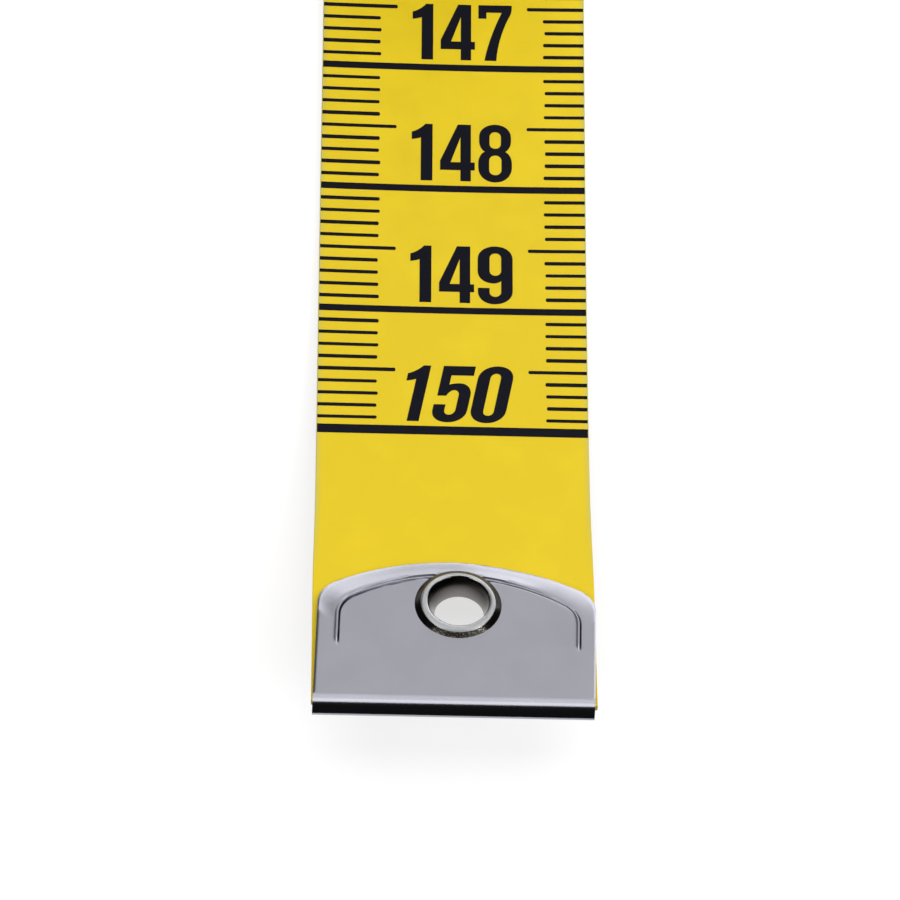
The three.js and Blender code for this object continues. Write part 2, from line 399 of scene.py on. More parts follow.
# Materials
def nodes_of(name, **values):
    """A new material, its nodes, and its shader with some sockets set."""
    material = bpy.data.materials.new(name)
    material.use_nodes = True
    tree = material.node_tree
    shader = tree.nodes["Principled BSDF"]
    for key, value in values.items():
        shader.inputs[key.replace("_", " ")].default_value = value
    return material, tree, shader


def connect(tree, shader, **outputs):
    """Links outputs to the shader's sockets."""
    for key, output in outputs.items():
        tree.links.new(output, shader.inputs[key.replace("_", " ")])


def add(tree, kind, **values):
    """A node with some of its values set: sockets by name, the rest as settings."""
    node = tree.nodes.new(kind)
    for key, value in values.items():
        socket = key.replace("_", " ")
        if socket in node.inputs:
            node.inputs[socket].default_value = value
        else:
            setattr(node, key, value)
    return node


def route_coordinates(tree, scale):
    """The piece's own (x, d, n) in millimetres, scaled for each axis."""
    attribute = add(tree, "ShaderNodeAttribute", attribute_name="route")
    mapping = add(tree, "ShaderNodeMapping", Scale=scale)
    tree.links.new(attribute.outputs["Vector"], mapping.inputs["Vector"])
    return mapping.outputs["Vector"]


def route_axis(tree, axis):
    """One of the piece's own coordinates in millimetres: 0 across, 1 along, 2 up."""
    split = add(tree, "ShaderNodeSeparateXYZ")
    tree.links.new(route_coordinates(tree, (1, 1, 1)), split.inputs[0])
    return split.outputs[axis]


def noise(tree, scale, detail=3.0):
    node = add(tree, "ShaderNodeTexNoise", Scale=1.0, Detail=detail)
    tree.links.new(route_coordinates(tree, scale), node.inputs["Vector"])
    return node.outputs["Fac"]


def ramp(tree, value, span, results):
    """A number that goes from one result to the other as the value crosses a span."""
    node = add(tree, "ShaderNodeMapRange")
    tree.links.new(value, node.inputs["Value"])
    for name, number in zip(("From Min", "From Max", "To Min", "To Max"), (*span, *results)):
        node.inputs[name].default_value = number
    return node.outputs["Result"]


def shades(tree, value, span, colours):
    """A colour that goes from one to the other as the value crosses a span."""
    node = add(tree, "ShaderNodeValToRGB")
    tree.links.new(value, node.inputs["Fac"])
    for stop, position, colour in zip(node.color_ramp.elements, span, colours):
        stop.position = position
        stop.color = (*colour, 1)
    return node.outputs["Color"]


def bump(tree, height, strength, distance, below=None):
    node = add(tree, "ShaderNodeBump", Strength=strength, Distance=distance * MM)
    tree.links.new(height, node.inputs["Height"])
    if below is not None:
        tree.links.new(below, node.inputs["Normal"])
    return node.outputs["Normal"]


def calculated(tree, operation, *values):
    """The result of an operation on outputs and numbers."""
    node = add(tree, "ShaderNodeMath", operation=operation)
    for socket, value in zip(node.inputs, values):
        if isinstance(value, (int, float)):
            socket.default_value = value
        else:
            tree.links.new(value, socket)
    return node.outputs[0]


def product(tree, first, second):
    return calculated(tree, "MULTIPLY", first, second)


def mixed(tree, amount, first, last):
    """From a colour that is linked to one that is given."""
    node = add(tree, "ShaderNodeMix", data_type="RGBA")
    tree.links.new(amount, node.inputs["Factor"])
    tree.links.new(first, node.inputs[6])
    node.inputs[7].default_value = (*last, 1)
    return node.outputs[2]


def weave(tree):
    """The threads of the cloth, showing through the coat."""
    bands = []
    scale = WAVE_LENGTH / THREAD_PITCH
    for direction in ("X", "Y"):
        wave = add(tree, "ShaderNodeTexWave", Scale=1.0, Distortion=0.6, Detail=1.0)
        wave.bands_direction = direction
        tree.links.new(route_coordinates(tree, (scale, scale, scale)), wave.inputs["Vector"])
        bands.append(wave.outputs["Fac"])
    return product(tree, *bands)


def yellow_material():
    material, tree, shader = nodes_of("yellow_pvc", Specular_IOR_Level=0.22)
    clouds = noise(tree, (0.25, 0.25, 0.25))
    # Painted light: lighter towards the roll, to offset the roll's shade
    painted_fill_light = ramp(tree, route_axis(tree, 1), PAINTED_FILL_SPAN, (-0.3, 0.35))
    colour = shades(tree, calculated(tree, "ADD", clouds, painted_fill_light), (0.2, 0.9), YELLOW_SHADES)
    side = calculated(tree, "ABSOLUTE", route_axis(tree, 0))
    edge = ramp(tree, side, EDGE_BAND, (0, 1))
    clear = ramp(tree, route_axis(tree, 1), EDGE_BAND_START, (0, 1))
    dulled = mixed(tree, product(tree, edge, clear), colour, YELLOW_EDGE)
    grain = noise(tree, (6, 6, 6))
    rough = ramp(tree, grain, NOISE_SPAN, (0.42, 0.52))
    threads = bump(tree, weave(tree), strength=0.12, distance=0.02)
    normal = bump(tree, grain, strength=0.15, distance=0.01, below=threads)
    connect(tree, shader, Base_Color=dulled, Roughness=rough, Normal=normal)
    return material


def cloth_material():
    material, tree, shader = nodes_of("glass_cloth", Sheen_Weight=0.3, Roughness=0.8)
    fibres = noise(tree, (14, 5, 14), detail=4.0)
    colour = shades(tree, fibres, (0.35, 0.65), CLOTH_SHADES)
    connect(tree, shader, Base_Color=colour, Normal=bump(tree, fibres, strength=0.5, distance=0.03))
    return material


def ink_material():
    material, tree, shader = nodes_of("print_ink", Specular_IOR_Level=0.08)
    blots = noise(tree, (1.2, 1.2, 1.2), detail=5.0)
    colour = shades(tree, blots, (0.35, 0.75), INK_SHADES)
    rough = ramp(tree, blots, NOISE_SPAN, (0.45, 0.6))
    normal = bump(tree, noise(tree, (9, 9, 9)), strength=0.15, distance=0.01)
    connect(tree, shader, Base_Color=colour, Roughness=rough, Normal=normal)
    return material


def satin_material():
    material, tree, shader = nodes_of("satin_nickel", Metallic=1.0)
    clouds = noise(tree, (0.35, 0.35, 0.35), detail=4.0)
    colour = shades(tree, clouds, NOISE_SPAN, NICKEL_SHADES)
    brushed = noise(tree, (2, 24, 24), detail=2.0)
    satin = ramp(tree, brushed, NOISE_SPAN, (0.275, 0.295))
    burnished = ramp(tree, route_axis(tree, 1), BURNISHED_SPAN, (0.35, 1.0))
    rough = product(tree, satin, burnished)
    lines = bump(tree, brushed, strength=0.006, distance=0.005)
    normal = bump(tree, clouds, strength=0.05, distance=0.1, below=lines)
    connect(tree, shader, Base_Color=colour, Roughness=rough, Normal=normal)
    return material


def dark_material():
    material, tree, shader = nodes_of("dark_nickel", Metallic=1.0)
    height = route_axis(tree, 2)
    along = route_axis(tree, 1)
    # Painted shade and light: dark on the slopes and the top of the barrel, lighter towards the barrel's
    # foot
    painted_foot_light = ramp(tree, height, PAINTED_FOOT_LIGHT_SPAN, (1.0, 0.0))
    painted_crest_highlight = ramp(tree, height, CREST_HIGHLIGHT_SPAN, (0.0, 1.0))
    painted_shading = shades(tree, painted_foot_light, (0.0, 1.0), EYELET_PAINTED_SHADES)
    specks = ramp(tree, noise(tree, (11, 11, 11), detail=2.0), (0.56, 0.66), (0.0, 1.0))
    near = ramp(tree, along, SPECKS_SPAN, (0.8, 0.0))
    speckled = mixed(tree, product(tree, specks, near), painted_shading, EYELET_SPECKS)
    # Painted highlight on the eyelet's crest
    colour = mixed(tree, painted_crest_highlight, speckled, EYELET_CREST_HIGHLIGHT)
    pits = noise(tree, (14, 14, 14))
    pitted = ramp(tree, pits, (0.35, 0.7), (0.14, 0.22))
    satin = ramp(tree, height, CREST_HIGHLIGHT_SPAN, (1.0, 1.9))
    dull = ramp(tree, along, DULL_SPAN, (2.3, 1.0))
    rough = product(tree, product(tree, pitted, satin), dull)
    normal = bump(tree, pits, strength=0.08, distance=0.02)
    connect(tree, shader, Base_Color=colour, Roughness=rough, Normal=normal)
    return material


def start_material():
    """Satin nickel for the start clip, which has no route coordinates."""
    material, tree, shader = nodes_of("start_nickel", Metallic=1.0)
    clouds = add(tree, "ShaderNodeTexNoise", Scale=350)
    tree.links.new(add(tree, "ShaderNodeTexCoord").outputs["Object"], clouds.inputs["Vector"])
    grey = clouds.outputs["Fac"]
    colour = shades(tree, grey, NOISE_SPAN, START_SHADES)
    connect(tree, shader, Base_Color=colour, Roughness=ramp(tree, grey, NOISE_SPAN, (0.27, 0.32)))
    return material


YELLOW = yellow_material()
GLASS = cloth_material()
INK = ink_material()
SATIN = satin_material()
EYELET_NICKEL = dark_material()
START = start_material()


# Camera
CAMERA_ELEVATION = math.radians(64.402)
CAMERA_YAW = math.radians(-4.858)
CAMERA_ROLL = math.radians(5.650)
CAMERA_DISTANCE = 351.08
CAMERA_TARGET = Vector((-0.106, -57.445, 0))
CAMERA_LENS = 200.75
CAMERA_CLIP = 0.01


def make_camera():
    level = math.cos(CAMERA_ELEVATION)
    raised = math.sin(CAMERA_ELEVATION)
    back = Vector((math.sin(CAMERA_YAW) * level, -math.cos(CAMERA_YAW) * level, raised))
    right = Vector((math.cos(CAMERA_YAW), math.sin(CAMERA_YAW), 0))
    up = back.cross(right)
    across = math.cos(CAMERA_ROLL) * right + math.sin(CAMERA_ROLL) * up
    upward = math.cos(CAMERA_ROLL) * up - math.sin(CAMERA_ROLL) * right
    eye = (CAMERA_TARGET + CAMERA_DISTANCE * back) * MM
    data = bpy.data.cameras.new("camera")
    data.lens = CAMERA_LENS
    data.clip_start = CAMERA_CLIP
    camera = bpy.data.objects.new("camera", data)
    camera.matrix_world = Matrix((across, upward, back)).transposed().to_4x4()
    camera.location = eye
    bpy.context.scene.collection.objects.link(camera)
    bpy.context.scene.camera = camera


make_camera()


# The tape's three layers, in three stretches
def tape_stops(start, end):
    """Distances from start to end, close enough for the bend at each place."""
    stops = [start]
    while stops[-1] < end:
        d = stops[-1]
        step = LAID_STEP
        if d > ROLL_AT:
            s = min(d - ROLL_AT, WOUND)
            radius = math.sqrt(ROLL_RADIUS**2 - 2 * SPREAD * s)
            step = radius * 2 * math.pi / TURN_STEPS
        if d - ROLL_AT > WOUND:
            step = HOOK_LENGTH / HOOK_STEPS
        stops.append(min(d + step, end))
    return stops


def widened(d):
    """How much wider the tape is where the end clip presses it flat."""
    return 1 + WIDENING * smooth(*WIDENING_SPAN, d)


def ring_faces(first, second, count):
    """Faces between two rings of points, given by their places in the row of rings."""
    faces = []
    for j in range(count):
        k = (j + 1) % count
        faces.append((first * count + k, first * count + j, second * count + j, second * count + k))
    return faces


def ribbon(name, start, end, section, material):
    """A closed strip: the section's (x, n) loop carried along the tape."""
    stops = tape_stops(start, end)
    count = len(section)
    points = [(x * widened(d), d, n) for d in stops for x, n in section]
    faces = [tuple(range(count))]
    for i in range(len(stops) - 1):
        faces += ring_faces(i, i + 1, count)
    last = (len(stops) - 1) * count
    faces.append(tuple(last + j for j in reversed(range(count))))
    return mesh_object(name, points, faces, material)


HALF = TAPE_WIDTH / 2
FACE = TAPE_THICKNESS / 2
INNER = FACE - COAT
INK_EDGE = HALF - EDGE_ROUND
CLOTH_HALF = HALF - CLOTH_INSET
FRONT_SECTION = [
    (-HALF, INNER),
    (HALF, INNER),
    (HALF, FACE - EDGE_ROUND),
    (HALF - EDGE_ROUND, FACE),
    (-HALF + EDGE_ROUND, FACE),
    (-HALF, FACE - EDGE_ROUND),
]
BACK_SECTION = [(-x, -n) for x, n in FRONT_SECTION]
CLOTH_SECTION = [
    (-CLOTH_HALF, -CLOTH / 2),
    (CLOTH_HALF, -CLOTH / 2),
    (CLOTH_HALF, CLOTH / 2),
    (-CLOTH_HALF, CLOTH / 2),
]
LAYERS = {
    "front_coat": (FRONT_SECTION, YELLOW, "yellow_pvc"),
    "cloth": (CLOTH_SECTION, GLASS, "glass_cloth"),
    "back_coat": (BACK_SECTION, YELLOW, "yellow_pvc"),
}
START_CUT_AT = OVERALL_LENGTH - START_CUT
STRETCHES = {
    "tip": (END_CUT, TIP_END, ("tip",), "laid"),
    "lead": (TIP_END, LEAD_END, ("lead",), "laid"),
    "roll": (LEAD_END, START_CUT_AT, ("roll", "base"), "folded"),
}
BENDS = {
    "tip": ("lead", "tip", TIP_BEND),
    "lead": ("roll", "lead", LEAD_BEND),
}


def pierce(piece):
    """Cuts the eyelet's hole through a layer of the tape."""
    bpy.ops.mesh.primitive_cylinder_add(
        vertices=EYELET_SIDES // 2,
        radius=(EYELET_BORE + EYELET_WALL + HOLE_CLEARANCE) * MM,
        depth=2 * CLIP_DEPTH * MM,
        location=place(EYELET_X, EYELET_AT, 0),
        rotation=(laid_heading(EYELET_AT), 0, 0),
    )
    cutter = bpy.context.object
    hole = piece.modifiers.new("hole", "BOOLEAN")
    hole.operation = "DIFFERENCE"
    hole.solver = "EXACT"
    hole.object = cutter
    settle(piece, SHARP_DEGREES)
    bpy.data.objects.remove(cutter)


def carry(piece, stretch):
    """Ties a piece of one stretch to the bodies that it follows."""
    if stretch == "roll":
        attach(piece, "roll")
        piece.visible_glossy = False
        return
    held, moved, bend = BENDS[stretch]
    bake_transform(piece, held, moved, start=place(0, bend[0], 0), end=place(0, bend[1], 0))


for stretch, (start, end, nodes, held) in STRETCHES.items():
    for layer, (section, material, slot) in LAYERS.items():
        piece = ribbon(f"{layer}_{stretch}", start, end, section, material)
        if stretch == "tip":
            pierce(piece)
        carry(piece, stretch)
        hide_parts(*[f"{node}_{layer}" for node in nodes])


# Figures, as outlines of points and of curves given by their corner and end
CURVE_STEPS = 7
CURVE_PULL = 0.58
FIGURE_CUT = 0.53
FIGURE_CUT_PAST = 1
FIGURES = {
    "0": [[
        (0, 1.05), (0, 3.72), (0, 4.82, 1.24, 4.82), (2.48, 4.82, 2.48, 3.72),
        (2.48, 1.05), (2.48, -0.05, 1.24, -0.05), (0, -0.05, 0, 1.05),
    ], [
        (0.88, 0.98), (0.88, 3.79), (0.88, 4.19, 1.25, 4.19), (1.62, 4.19, 1.62, 3.79),
        (1.62, 0.98), (1.62, 0.58, 1.25, 0.58), (0.88, 0.58, 0.88, 0.98),
    ]],
    "1": [[
        (0.66, 0), (1.5, 0), (1.5, 4.77), (0.98, 4.77), (0.55, 4.22, 0, 4.08),
        (0, 3.45), (0.4, 3.5, 0.66, 3.61),
    ]],
    "2": [[
        (0, 0), (2.44, 0), (2.44, 0.74), (1.02, 0.74), (1.15, 1.25, 1.75, 1.95),
        (2.46, 2.75, 2.46, 3.55), (2.46, 4.82, 1.24, 4.82), (0.02, 4.82, 0.02, 3.5),
        (0.02, 3.25), (0.86, 3.25), (0.86, 3.55), (0.86, 4.2, 1.25, 4.2),
        (1.6, 4.2, 1.6, 3.6), (1.6, 3.05, 1.1, 2.45), (0, 1.2, 0, 0.35),
    ]],
    "3": [[
        (0, 1.38), (0, 1.15), (0, -0.05, 1.21, -0.05), (2.44, -0.05, 2.44, 1.2), (2.44, 1.55),
        (2.44, 2.3, 1.85, 2.5), (2.38, 2.75, 2.38, 3.35), (2.38, 3.7), (2.38, 4.82, 1.2, 4.82),
        (0.04, 4.82, 0.04, 3.7), (0.04, 3.42), (0.84, 3.42), (0.84, 3.65), (0.84, 4.2, 1.2, 4.2),
        (1.56, 4.2, 1.56, 3.7), (1.56, 3.4), (1.56, 2.83, 1.1, 2.83), (0.92, 2.83), (0.92, 2.22),
        (1.12, 2.22), (1.6, 2.22, 1.6, 1.6), (1.6, 1.15), (1.6, 0.57, 1.21, 0.57),
        (0.82, 0.57, 0.82, 1.12), (0.82, 1.38),
    ]],
    "4": [[
        (1.46, 0), (2.21, 0), (2.21, 0.925), (2.49, 0.925), (2.49, 1.59), (2.21, 1.59),
        (2.21, 4.77), (1.265, 4.77), (0, 1.7), (0, 0.925), (1.46, 0.925),
        ],
        [(0.755, 1.59), (1.46, 1.59), (1.46, 3.7)],
    ],
    "5": [[
        (0.11, 2.23), (0.11, 4.77), (2.36, 4.77), (2.36, 3.98), (0.79, 3.98), (0.79, 3.18),
        (1.1, 3.31, 1.5, 3.31), (2.43, 3.31, 2.43, 2.3), (2.43, 1), (2.43, -0.05, 1.2, -0.05),
        (0, -0.05, 0, 0.95), (0, 1.48), (0.83, 1.48), (0.83, 1), (0.83, 0.6, 1.2, 0.6),
        (1.6, 0.6, 1.6, 1.05), (1.6, 2.3), (1.6, 2.72, 1.22, 2.72), (0.92, 2.72, 0.73, 2.23),
    ]],
    "7": [[
        (0.445, 0), (1.307, 0), (1.38, 2.05, 2.3, 3.9), (2.43, 4.2, 2.43, 4.5), (2.43, 4.77),
        (0, 4.77), (0, 3.61), (0.584, 3.61), (0.584, 4.14), (1.7, 4.14), (0.75, 2, 0.445, 0),
    ]],
    "8": [[
        (0.473, 2.535), (0.06, 2.75, 0.06, 3.45), (0.06, 3.75), (0.06, 4.82, 1.21, 4.82),
        (2.36, 4.82, 2.36, 3.75), (2.36, 3.45), (2.36, 2.75, 1.94, 2.535), (2.42, 2.3, 2.42, 1.55),
        (2.42, 1.2), (2.42, -0.05, 1.21, -0.05), (0, -0.05, 0, 1.2), (0, 1.55),
        (0, 2.3, 0.473, 2.535),
    ], [
        (0.81, 3.2), (0.81, 3.76), (0.81, 4.19, 1.22, 4.19), (1.63, 4.19, 1.63, 3.76),
        (1.63, 3.2), (1.63, 2.79, 1.22, 2.79), (0.81, 2.79, 0.81, 3.2),
    ], [
        (0.79, 1), (0.79, 1.78), (0.79, 2.22, 1.23, 2.22), (1.67, 2.22, 1.67, 1.78),
        (1.67, 1), (1.67, 0.56, 1.23, 0.56), (0.79, 0.56, 0.79, 1),
    ]],
    "9": [[
        (1.67, 1.9), (1.5, 1.7, 1.12, 1.7), (0, 1.7, 0, 2.75), (0, 3.75), (0, 4.82, 1.245, 4.82),
        (2.49, 4.82, 2.49, 3.75), (2.49, 1.05), (2.49, -0.06, 1.2, -0.06), (0.02, -0.06, 0.02, 1),
        (0.02, 1.31), (0.85, 1.31), (0.85, 0.95), (0.85, 0.57, 1.25, 0.57), (1.67, 0.57, 1.67, 1),
    ], [
        (0.85, 2.78), (0.85, 3.82), (0.85, 4.23, 1.26, 4.23), (1.67, 4.23, 1.67, 3.82),
        (1.67, 2.78), (1.67, 2.35, 1.26, 2.35), (0.85, 2.35, 0.85, 2.78),
    ]],
}


def drawn(outline):
    """Points along an outline, with its curves drawn out."""
    points = []
    for item in outline:
        if len(item) == 2:
            points.append(Vector(item))
            continue
        start, corner, end = points[-1], Vector(item[:2]), Vector(item[2:])
        first = start.lerp(corner, CURVE_PULL)
        second = end.lerp(corner, CURVE_PULL)
        for i in range(1, CURVE_STEPS + 1):
            t = i / CURVE_STEPS
            u = 1 - t
            outer = u**3 * start + 3 * u * u * t * first
            points.append(outer + 3 * u * t * t * second + t**3 * end)
    if (points[0] - points[-1]).length < SAME_POINT:
        points.pop()
    return points


def inside(point, loops):
    """Whether a point is inside an odd number of the loops."""
    odd = False
    for loop in loops:
        for a, b in zip(loop, loop[1:] + loop[:1]):
            if (a[1] > point[1]) != (b[1] > point[1]):
                x = a[0] + (point[1] - a[1]) / (b[1] - a[1]) * (b[0] - a[0])
                odd ^= point[0] < x
    return odd


def filled(loops, cuts=()):
    """Triangles that fill the loops, cut along some lines across them."""
    points = []
    edges = []
    for loop in loops:
        first = len(points)
        points += [Vector(p) for p in loop]
        edges += [(first + i, first + (i + 1) % len(loop)) for i in range(len(loop))]
    for a, b in cuts:
        edges.append((len(points), len(points) + 1))
        points += [Vector(a), Vector(b)]
    made = delaunay_2d_cdt(points, edges, [], 0, SAME_POINT)
    corners = [tuple(p) for p in made[0]]
    kept = []
    for face in made[2]:
        middle = [sum(corners[i][axis] for i in face) / len(face) for axis in (0, 1)]
        if inside(middle, loops):
            kept.append(tuple(face))
    used = sorted({i for face in kept for i in face})
    number = {old: new for new, old in enumerate(used)}
    return [corners[i] for i in used], [tuple(number[i] for i in face) for face in kept]


def make_figure(outlines):
    loops = [drawn(outline) for outline in outlines]
    wide = max(p[0] for p in loops[0])
    rows = int(FIGURE_HEIGHT / FIGURE_CUT)
    heights = [i * FIGURE_CUT for i in range(1, rows + 1)]
    cuts = [((-FIGURE_CUT_PAST, y), (wide + FIGURE_CUT_PAST, y)) for y in heights]
    return (*filled(loops, cuts), wide)


SHAPES = {figure: make_figure(outlines) for figure, outlines in FIGURES.items()}
NINE_POINTS, NINE_FACES, NINE_WIDE = SHAPES["9"]
SIX_POINTS = [(NINE_WIDE - x, FIGURE_HEIGHT - y) for x, y in NINE_POINTS]
SHAPES["6"] = (SIX_POINTS, NINE_FACES, NINE_WIDE)


def number_shapes(text, slanted):
    """The figures of a number as (points, faces), from its middle and its foot."""
    shapes = []
    x = 0.0
    for i, figure in enumerate(text):
        points, faces, wide = SHAPES[figure]
        shapes.append(([(x + px, py) for px, py in points], faces))
        x += wide
        if i + 1 < len(text):
            space = FIGURE_SPACE
            if figure == "1":
                space = ONE_TO_FOUR if text[i + 1] == "4" else AFTER_ONE
            x += space
    start = (SLANTED_MIDDLE if slanted else FIGURES_MIDDLE) - x / 2
    lean = SLANT if slanted else 0
    return [([(px + start + lean * py, py) for px, py in points], faces) for points, faces in shapes]


def bowed(x, d):
    """Where the ink lies: the print bows a little towards the end clip in mid tape."""
    share = smooth(*PRINT_BOW_SPAN, d) * (1 - (x / HALF) ** 2)
    return x, d - PRINT_BOW * share


class Print:
    """Ink on one face of one stretch, as thin closed shapes."""

    def __init__(self, face):
        self.face = face
        self.points = []
        self.faces = []

    def add(self, shape, faces):
        """Adds a flat shape of (x, d) points, with a top, a foot and sides."""
        low = self.face * (FACE + INK_LIFT)
        high = self.face * (FACE + INK_LIFT + INK_THICKNESS)
        first = len(self.points)
        count = len(shape)
        shape = [bowed(x, d) for x, d in shape]
        self.points += [(x, d, high) for x, d in shape] + [(x, d, low) for x, d in shape]
        uses = {}
        for face in faces:
            self.faces.append(tuple(first + i for i in face))
            self.faces.append(tuple(first + count + i for i in reversed(face)))
            for a, b in zip(face, face[1:] + face[:1]):
                uses[(a, b)] = True
        for a, b in uses:
            if (b, a) not in uses:
                self.faces.append((first + b, first + a, first + count + a, first + count + b))

    def line(self, d, x0, x1, thick):
        """A line across the tape."""
        half = thick / 2
        parts = max(round((x1 - x0) / LINE_PART), 1)
        between = [lerp(x0, x1, i / parts) for i in range(1, parts)]
        shape = line_end(x0, d, half, -1) + [(x, d - half) for x in between]
        shape += line_end(x1, d, half, 1) + [(x, d + half) for x in reversed(between)]
        self.add(shape, [tuple(range(len(shape)))])


def line_end(x, d, half, side):
    """One end of a line: square at the tape's edge, rounded where it stops short."""
    if abs(x) >= INK_EDGE:
        return [(x, d - side * half), (x, d + side * half)]
    points = []
    for i in range(LINE_END_STEPS + 1):
        angle = math.pi * (i / LINE_END_STEPS - side / 2)
        points.append((x + LINE_END_ROUND * (math.cos(angle) - side), d + half * math.sin(angle)))
    return points


def stretch_of(d):
    if d < TIP_END:
        return "tip"
    return "lead" if d < LEAD_END else "roll"


prints = {(stretch, face): Print(face) for stretch in STRETCHES for face in (1, -1)}
wobble = random.Random(4)


def add_number(text, d, thick, face, slanted):
    """A number before its line, its feet towards the line."""
    ink = prints[(stretch_of(d + face * FIGURE_HEIGHT / 2), face)]
    gap = FIGURE_GAP + thick / 2
    for points, faces in number_shapes(text, slanted):
        placed = [(x, d + face * (gap + FIGURE_SQUAT * y)) for x, y in points]
        ink.add(placed, faces if face > 0 else [tuple(reversed(f)) for f in faces])


def uneven(value, change):
    return value + wobble.uniform(-change, change)


def add_ticks(d, face, left, right):
    """Ticks from both edges, each a little uneven as printed ones are."""
    ink = prints[(stretch_of(d), face)]
    ink.line(d, -INK_EDGE, uneven(left, TICK_UNEVEN), TICK * uneven(1, TICK_THICK_UNEVEN))
    ink.line(d, uneven(right, TICK_UNEVEN), INK_EDGE, TICK * uneven(1, TICK_THICK_UNEVEN))


def add_mark(d, face, part, parts, number, thick=CENTIMETRE_LINE):
    """A line with its number, or else a tick, which is longer halfway to the next line."""
    if part == 0:
        prints[(stretch_of(d), face)].line(d, -INK_EDGE, INK_EDGE, thick)
        add_number(str(number), d, thick, face, face > 0 and number % SLANTED_EVERY == 0)
    elif part == parts // 2:
        add_ticks(d, face, LEFT_HALF_TICK, RIGHT_HALF_TICK)
    else:
        add_ticks(d, face, LEFT_TICK, RIGHT_TICK)


def centimetre_scale(first, last):
    """The front scale between two distances, in millimetres along the tape."""
    for step in range(int(last - LINE_150_AT) + 1):
        d = LINE_150_AT + step
        number = LAST_NUMBER - step // CENTIMETRE
        thick = LAST_LINE if step == 0 else CENTIMETRE_LINE
        if d >= first:
            add_mark(d, 1, step % CENTIMETRE, CENTIMETRE, number, thick)


def inch_scale(last):
    """The back scale, which starts at the end clip."""
    eighth = INCH / EIGHTHS
    for step in range(FIRST_EIGHTH, int(last / eighth)):
        add_mark(step * eighth, -1, step % EIGHTHS, EIGHTHS, step // EIGHTHS)


centimetre_scale(0, ROLL_AT + PRINT_INTO_ROLL)
centimetre_scale(CORE_PRINT_FROM, CORE_PRINT_TO)
inch_scale(ROLL_AT + OUTER_PRINT_TURNS * 2 * math.pi * ROLL_RADIUS)

for (stretch, face), ink in prints.items():
    side = "front" if face > 0 else "back"
    piece = mesh_object(f"print_{side}_{stretch}", ink.points, ink.faces, INK)
    carry(piece, stretch)


# The end clip
LEG_STEPS = 44
CORNER_STEPS = 12
ARCH_STEPS = 64
FOLD_COLUMNS = 10
BORDER_ROWS = (0, 0.04, 0.08, EDGE_SHARE, 0.23, 0.32, 0.42, 0.53, 0.57, 0.7, 0.85)
BEAD_STOPS = (0.02, RIDGE_HALF_TOP, 0.07, RIDGE_HALF_FOOT, 0.115, 0.145, 0.175, 0.2, 0.23, 0.26)
BEAD_OUTER_STOPS = tuple(-stop for stop in reversed(BEAD_STOPS))
BEAD_ROWS = (-BEAD_OUTER_REACH, *BEAD_OUTER_STOPS, *BEAD_STOPS, BEAD_INNER_REACH)


def arc(cx, cy, radius, start, end, count):
    angles = [lerp(start, end, i / count) for i in range(count)]
    return [(cx + radius * math.cos(a), cy + radius * math.sin(a)) for a in angles]


def arched_path(half_width, top, arch_radius, corner_radius):
    """From the right foot up its leg, over the arch and down to the left foot."""
    centre = top - arch_radius
    corner_x = half_width - corner_radius
    corner_d = centre + math.sqrt((arch_radius - corner_radius) ** 2 - corner_x**2)
    turn = math.atan2(corner_d - centre, corner_x)
    leg = [lerp(FOLD_START, corner_d, i / LEG_STEPS) for i in range(LEG_STEPS)]
    half = [(half_width, d) for d in leg]
    half += arc(corner_x, corner_d, corner_radius, 0, turn, CORNER_STEPS)
    half += arc(0, centre, arch_radius, turn, math.pi / 2, ARCH_STEPS // 2)
    return half + [(0, top)] + [(-x, d) for x, d in reversed(half)]


def inward(path):
    """Unit directions into the clip, square to the path."""
    directions = []
    for i in range(len(path)):
        a = path[max(i - 1, 0)]
        b = path[min(i + 1, len(path) - 1)]
        run = math.hypot(b[0] - a[0], b[1] - a[1])
        directions.append((-(b[1] - a[1]) / run, (b[0] - a[0]) / run))
    directions[0] = (-1.0, 0.0)
    directions[-1] = (1.0, 0.0)
    return directions


def skewed(x, d, n):
    """The clip sits a little askew on the tape."""
    lean = math.tan(CLIP_SKEW)
    return x + CLIP_SHIFT + lean * d, d - lean * x * max(d, 0) / CLIP_DEPTH, n


outline = arched_path(CLIP_HALF_WIDTH, CLIP_TOP, CLIP_ARCH_RADIUS, CLIP_CORNER_RADIUS)
level_bead = arched_path(BEAD_HALF_WIDTH, BEAD_TOP, BEAD_ARCH_RADIUS, BEAD_CORNER_RADIUS)
bead = []
for x, d in level_bead:
    bead.append((x + BEAD_SHIFT, d - BEAD_TILT * x * smooth(FOLD_START, BEAD_END, d)))
bead_inward = inward(bead)
HOLE_X = EYELET_X - CLIP_SHIFT - math.tan(CLIP_SKEW) * EYELET_AT


def from_eyelet(x, d):
    return math.hypot(x - HOLE_X, d - EYELET_AT)


def inner_reach(x, d):
    """Share of the bead's inner side that there is room for beside the eyelet."""
    clear = smooth(*BEAD_ROOM_SPAN, from_eyelet(x, d))
    return lerp(BEAD_EYELET_REACH / BEAD_INNER_REACH, 1, clear)


def beside_bead(offset):
    """The row of points at a distance inward from the bead's middle."""
    row = []
    for (x, d), (inward_x, inward_d) in zip(bead, bead_inward):
        run = offset * inner_reach(x, d) if offset > 0 else offset
        row.append((x + run * inward_x, d + run * inward_d, run))
    return row


def bell(x, middle, width):
    return math.exp(-(((x - middle) / width) ** 2))


